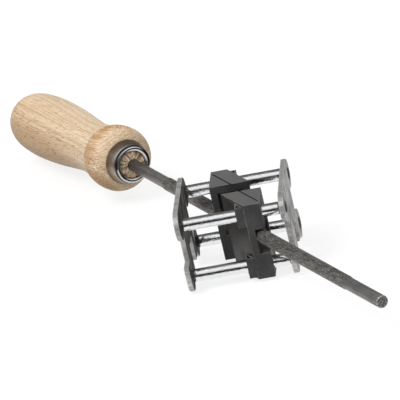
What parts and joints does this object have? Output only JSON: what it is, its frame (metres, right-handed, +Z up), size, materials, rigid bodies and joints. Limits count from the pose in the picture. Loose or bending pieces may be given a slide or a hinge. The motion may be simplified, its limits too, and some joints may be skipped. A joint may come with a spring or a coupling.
{
  "type": "chainsaw file guide",
  "caption": "Chainsaw sharpening guide: a roller cage that sits over the saw chain, plastic guide blocks set to the filing angle, and a round file with a turned wooden handle.",
  "frame": {"origin": "middle of the cage: half way between the side plates and among the four rollers", "axes": "+X along the saw chain and the rollers, -Y towards the side the file points to, +Z up; the chain slot opens towards -Z"},
  "size_m": [0.1477, 0.2416, 0.0296],
  "materials": {
    "plate_steel": "satin nickel-plated, stamped",
    "roller_chrome": "bright chrome",
    "axle_steel": "riveted ends",
    "block_plastic": "fine moulded texture",
    "file_steel": "hardened, fine spiral cut",
    "handle_beech": "turned, waxed beech",
    "ferrule_steel": "rolled rim"
  },
  "bodies": {
    "cage": {"left_plate": "plate_steel", "right_plate": "plate_steel", "back_top_axle": "axle_steel", "front_top_axle": "axle_steel", "front_bottom_axle": "axle_steel", "back_bottom_axle": "axle_steel"},
    "back_top_roller": {"back_top_roller": "roller_chrome"},
    "front_top_roller": {"front_top_roller": "roller_chrome"},
    "front_bottom_roller": {"front_bottom_roller": "roller_chrome"},
    "back_bottom_roller": {"back_bottom_roller": "roller_chrome"},
    "front_block": {"front_guide_block": "block_plastic"},
    "back_block": {"back_guide_block": "block_plastic"},
    "file_and_handle": {"file": "file_steel", "ferrule": "ferrule_steel", "handle": "handle_beech"}
  },
  "joints": [
    {"name": "back_top_roller_spin", "type": "hinge", "parent": "cage", "child": "back_top_roller", "pos_m": [0, 0.015, 0.00955], "axis": [1, 0, 0], "continuous": true},
    {"name": "front_top_roller_spin", "type": "hinge", "parent": "cage", "child": "front_top_roller", "pos_m": [0, -0.015, 0.00955], "axis": [1, 0, 0], "continuous": true},
    {"name": "front_bottom_roller_spin", "type": "hinge", "parent": "cage", "child": "front_bottom_roller", "pos_m": [0, -0.015, -0.00955], "axis": [1, 0, 0], "continuous": true},
    {"name": "back_bottom_roller_spin", "type": "hinge", "parent": "cage", "child": "back_bottom_roller", "pos_m": [0, 0.015, -0.00955], "axis": [1, 0, 0], "continuous": true},
    {"name": "front_block_slide", "type": "slide", "parent": "cage", "child": "front_block", "axis": [1, 0, 0], "range_m": [-0.0036, 0]},
    {"name": "back_block_slide", "type": "slide", "parent": "cage", "child": "back_block", "axis": [1, 0, 0], "range_m": [-0.0036, 0]},
    {"name": "file_stroke", "type": "slide", "parent": "cage", "child": "file_and_handle", "axis": [0.5, -0.866, 0], "range_m": [-0.08, 0.05]}
  ]
}
